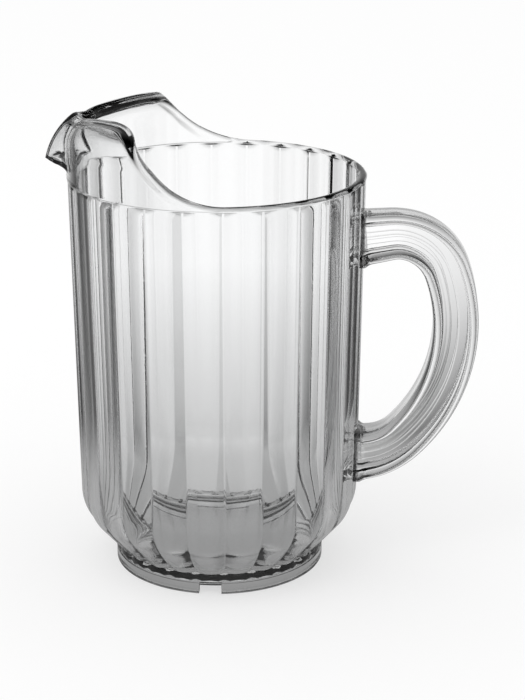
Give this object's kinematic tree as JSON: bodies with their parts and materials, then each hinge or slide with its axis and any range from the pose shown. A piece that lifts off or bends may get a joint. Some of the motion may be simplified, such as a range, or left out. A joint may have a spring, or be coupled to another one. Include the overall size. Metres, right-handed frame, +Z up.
{
  "type": "beer pitcher",
  "caption": "Clear plastic beer pitcher with a reeded body on a notched foot ring, a hooded pouring mouth with a front beak, and a side handle.",
  "frame": {"origin": "centre of the foot ring, on the surface that the pitcher stands on", "axes": "+Z up along the axis of the body, +X towards the handle, -X towards the beak"},
  "size_m": [0.196, 0.1344, 0.2138],
  "materials": {
    "clear_plastic": "clear and polished"
  },
  "bodies": {
    "root": {"foot_ring": "clear_plastic", "base_floor": "clear_plastic", "body_wall": "clear_plastic", "pouring_hood": "clear_plastic", "beak": "clear_plastic", "handle": "clear_plastic"}
  },
  "joints": []
}
